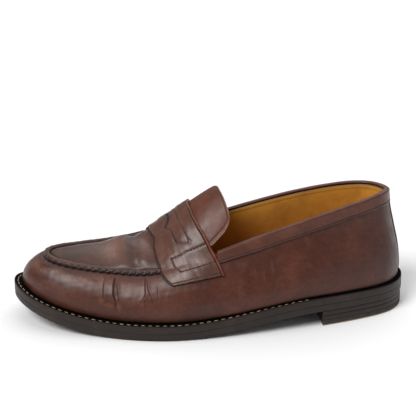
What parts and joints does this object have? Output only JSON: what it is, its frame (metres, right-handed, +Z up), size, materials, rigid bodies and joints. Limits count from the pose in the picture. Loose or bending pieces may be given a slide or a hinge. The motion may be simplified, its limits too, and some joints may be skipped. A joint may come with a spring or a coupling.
{
  "type": "penny loafer",
  "caption": "Low slip-on shoe with a raised apron seam, a saddle strap with a cut-out slot, a short tongue, a stitched welt and a low stacked heel.",
  "frame": {"origin": "centre of the shoe's plan outline, on the ground that the heel and the ball of the sole stand on", "axes": "-X towards the toe, +X towards the heel, -Y towards the outer side, +Z up"},
  "size_m": [0.29, 0.11, 0.0955],
  "materials": {
    "upper_leather": "polished calf, worn and creased at the ball",
    "apron_leather": "polished calf, darker and smooth",
    "roll_leather": "polished calf, rubbed redder on the ridge",
    "strap_leather": "polished calf with dark edges",
    "tongue_leather": "polished calf, slightly lighter",
    "collar_leather": "polished calf, rubbed along the fold",
    "lining_leather": "ochre lining leather, satin",
    "tongue_lining": "dark olive lining leather, matt",
    "sock_leather": "ochre lining leather, satin",
    "sole_leather": "sole leather, edges inked dark and waxed",
    "heel_rubber": "matt rubber",
    "heel_nail_brass": "dull",
    "insole_leather": "raw vegetable-tanned leather",
    "stiffener_board": "leather board, matt",
    "rib_canvas": "glued canvas, matt",
    "cork": "granulated cork, matt",
    "shank_steel": "plain spring steel",
    "welt_thread": "waxed linen thread"
  },
  "bodies": {
    "root": {"upper_wall": "upper_leather", "back_strip": "upper_leather", "apron": "apron_leather", "apron_roll": "roll_leather", "saddle_strap": "strap_leather", "tongue": "tongue_leather", "collar_strip": "collar_leather", "topline_fold": "collar_leather", "quarter_lining": "lining_leather", "vamp_lining": "lining_leather", "tongue_lining": "tongue_lining", "apron_lining": "tongue_lining", "sock_liner": "sock_leather", "outsole": "sole_leather", "welt": "sole_leather", "heel_rand": "sole_leather", "heel_lift_1": "sole_leather", "heel_lift_2": "sole_leather", "heel_top_piece": "heel_rubber", "heel_nail_1": "heel_nail_brass", "heel_nail_2": "heel_nail_brass", "heel_nail_3": "heel_nail_brass", "heel_nail_4": "heel_nail_brass", "heel_nail_5": "heel_nail_brass", "insole": "insole_leather", "toe_puff": "stiffener_board", "heel_counter": "stiffener_board", "side_liner_outer": "stiffener_board", "side_liner_inner": "stiffener_board", "shank_board": "stiffener_board", "insole_rib": "rib_canvas", "cork_filler": "cork", "shank": "shank_steel", "welt_thread": "welt_thread"}
  },
  "joints": []
}
